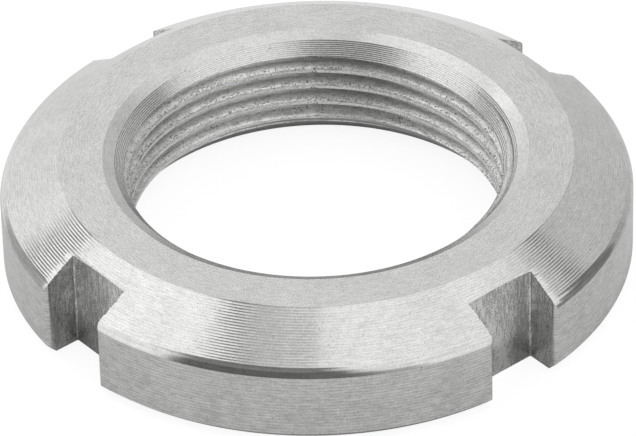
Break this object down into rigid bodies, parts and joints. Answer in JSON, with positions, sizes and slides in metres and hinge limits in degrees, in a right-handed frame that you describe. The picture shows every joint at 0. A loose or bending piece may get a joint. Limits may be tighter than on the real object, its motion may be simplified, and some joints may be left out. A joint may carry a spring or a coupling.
{
  "type": "bearing lock nut",
  "caption": "Round slotted lock nut with a threaded bore, a coned front face and spanner slots cut through its rim.",
  "frame": {"origin": "centre of the back face, on the nut's axis", "axes": "+Z along the nut's axis, out of the coned front face; +X and +Y each through the middle of a spanner slot"},
  "size_m": [0.0316, 0.0316, 0.006],
  "materials": {
    "bright_steel": "turned and milled, bright"
  },
  "bodies": {
    "root": {"lock_nut": "bright_steel"}
  },
  "joints": []
}
